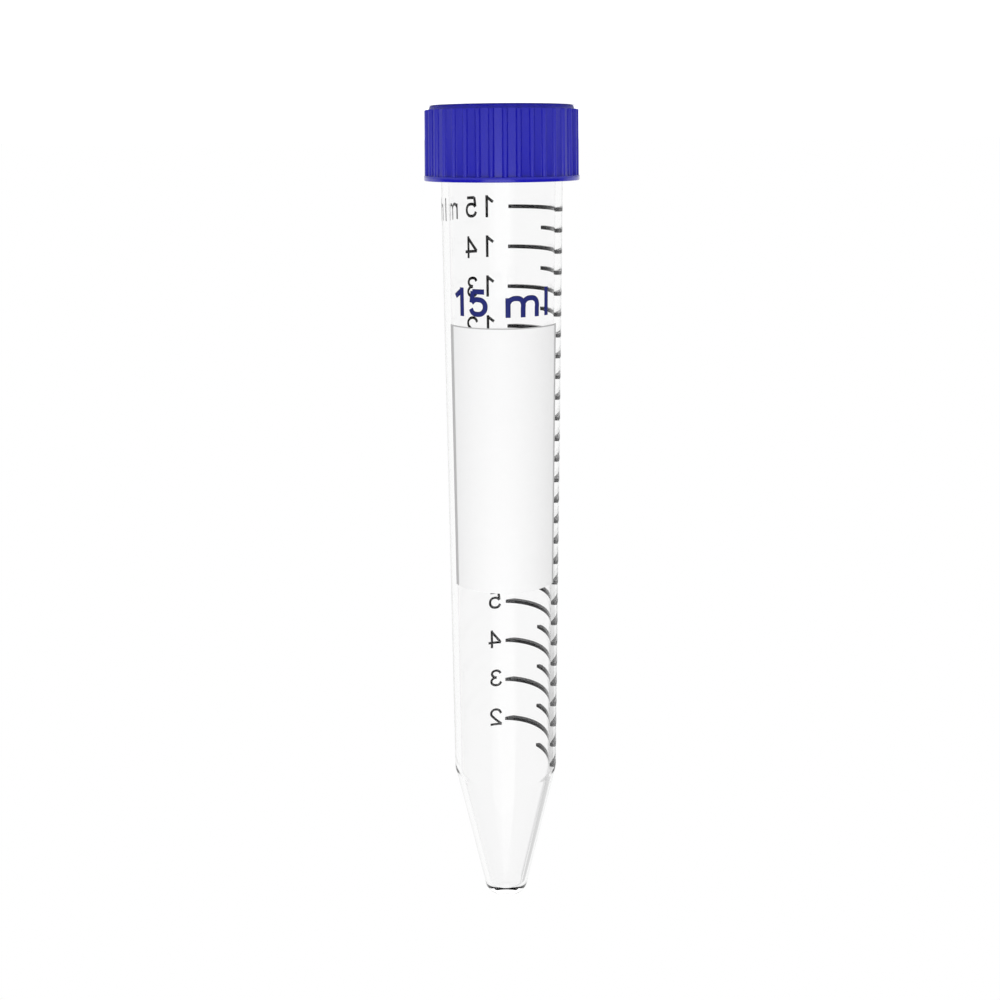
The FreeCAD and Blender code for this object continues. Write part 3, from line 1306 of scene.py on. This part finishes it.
@dataclass
class Studio:
    """A white room with one soft lamp, and the camera."""

    floor_size: float = 3.0
    floor_paint: float = 0.8
    floor_glow: float = 0.7
    ambient: float = 0.725
    mirrored: float = 0.05
    mirror_full: float = 0.45
    dimness: float = 0.35
    dim_from: float = 0.26
    dim_full: float = 0.42
    dim_end: float = 1.25
    dim_fade: float = 0.7
    dim_low: float = 0.26
    dim_high: float = 0.46
    least_depth: float = 0.05
    lens: float = 41.3
    camera_place: tuple[float, float, float] = (0.0, -0.1579, 0.0047)
    camera_yaw: float = -0.204
    camera_pitch: float = 17.28
    camera_roll: float = 179.5735
    lamp: Softbox = Softbox("front_box", place=(0.05, -0.62, 0.3), size=(0.55, 1.1), power=2.8)

    def floor(self) -> None:
        """Builds the white floor, which glows where it is seen and keeps the tube's shadow."""
        bm = bmesh.new()
        bmesh.ops.create_grid(bm, x_segments=1, y_segments=1, size=self.floor_size / 2)
        mesh = baked(bm, "floor")
        material = bpy.data.materials.new("white_floor")
        material.use_nodes = True
        wires = Wiring(material.node_tree)
        path = wires.add("ShaderNodeLightPath").outputs
        seen = wires.math("MAXIMUM", path["Is Camera Ray"], path["Is Transmission Ray"])
        white = rgb(self.floor_paint, self.floor_paint, self.floor_paint)
        paint = wires.add("ShaderNodeBsdfDiffuse", {"Color": white})
        strength = wires.math("MULTIPLY", seen, self.floor_glow)
        glow = wires.add("ShaderNodeEmission", {"Color": rgb(1, 1, 1), "Strength": strength})
        both = wires.add("ShaderNodeAddShader", {0: paint.outputs[0], 1: glow.outputs[0]})
        wires.add("ShaderNodeOutputMaterial", {"Surface": both.outputs[0]})
        mesh.materials.append(material)
        floor = placed("floor", mesh)

    def surroundings(self) -> None:
        """Sets the world: white behind what is seen, softer where it only lights and mirrors."""
        world = bpy.data.worlds.new("studio")
        bpy.context.scene.world = world
        world.use_nodes = True
        wires = Wiring(world.node_tree)
        path = wires.add("ShaderNodeLightPath").outputs
        seen = wires.math("MAXIMUM", path["Is Camera Ray"], path["Is Transmission Ray"])
        way = wires.add("ShaderNodeSeparateXYZ", {0: wires.add("ShaderNodeTexCoord").outputs["Generated"]})
        behind = wires.ramp(way.outputs["Y"], 0.0, self.mirror_full, to_low=self.mirrored)
        level = wires.blend(path["Is Glossy Ray"], self.ambient, behind)
        most = wires.math("MULTIPLY", path["Is Transmission Ray"], self.dimness)
        dim = wires.math("MULTIPLY", self.band(wires, way), most)
        through = wires.math("SUBTRACT", 1.0, dim)
        strength = wires.blend(seen, level, through)
        back = wires.add("ShaderNodeBackground", {"Color": rgb(1, 1, 1), "Strength": strength})
        wires.add("ShaderNodeOutputWorld", {"Surface": back.outputs[0]})

    def band(self, wires: Wiring, way: Node) -> NodeSocket:
        """Finds how far a direction lies in the dimmer part of the room, behind and to one side.

        Args:
            wires: The world's wiring.
            way: The node that splits the direction into its three parts.

        Returns:
            The share of the dimming, from 0 to 1.
        """
        depth = wires.math("MAXIMUM", way.outputs["Y"], self.least_depth)
        side = wires.math("DIVIDE", way.outputs["X"], depth)
        rise = wires.ramp(side, -self.dim_from, -self.dim_full)
        fall = wires.ramp(side, -self.dim_end, -self.dim_end * self.dim_fade)
        high = wires.ramp(way.outputs["Z"], self.dim_low, self.dim_high)
        return wires.math("MULTIPLY", wires.math("MULTIPLY", rise, fall), high)

    def camera(self) -> None:
        """Sets the camera close to the bench, rolled over so that the cap is at the picture's top."""
        data = bpy.data.cameras.new("camera")
        data.lens = self.lens
        data.sensor_width = 36.0
        data.clip_start = 0.001
        camera = placed("camera", data)
        yaw = Matrix.Rotation(math.radians(self.camera_yaw), 4, "Z")
        pitch = Matrix.Rotation(math.radians(90 + self.camera_pitch), 4, "X")
        roll = Matrix.Rotation(math.radians(self.camera_roll), 4, "Z")
        camera.matrix_world = Matrix.Translation(self.camera_place) @ yaw @ pitch @ roll
        bpy.context.scene.camera = camera

    def build(self) -> None:
        """Builds the room, the lamp and the camera."""
        self.floor()
        self.surroundings()
        self.lamp.build()
        self.camera()
        bpy.context.scene.view_settings.view_transform = "Standard"


def main() -> None:
    """Builds the whole scene and reports each piece."""
    logging.basicConfig(level=logging.INFO, format="%(name)s: %(message)s")
    cap_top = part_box("tube")[1].z / MM
    stand = Stand(cap_top)
    grain = grain_group()
    tube = ClearTube(ClearPlastic("clear_plastic", rgb(0.974, 0.974, 0.974), grain))
    tube.build(stand)
    black = PrintedInk("scale_ink", rgb(0.012, 0.012, 0.013), grain, gloss=0.15)
    Scale(tube, black, cap_top).build(stand)
    matt = {"grain": grain, "roughness": 0.5, "gloss": 0.3}
    white = PrintedInk("patch_ink", rgb(0.93, 0.93, 0.93), worn=rgb(0.86, 0.86, 0.86), **matt)
    # Grey paint for the rim of painted shade along the patch's edges.
    grey = PrintedInk("edge_shade_paint", rgb(0.5, 0.5, 0.5), worn=rgb(0.6, 0.6, 0.6), **matt)
    thin_navy = rgb(0.026, 0.033, 0.21)
    navy = PrintedInk(
        "mark_ink", rgb(0.016, 0.022, 0.165), grain, worn=thin_navy, roughness=0.4, gloss=0.15
    )
    WritingSide(tube, white, grey, navy, cap_top).build(stand)
    ScrewCap(SatinPlastic("blue_plastic", rgb(0.007, 0.006, 0.44), grain)).build(stand)
    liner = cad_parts["cap_liner"]
    liner.data.materials.clear()
    liner.data.materials.append(SoftFoam("liner_foam", rgb(0.86, 0.86, 0.84), grain).make())
    log.info("cap_liner: the packed disc, dressed")
    Studio().build()


if __name__ == "__main__":
    main()
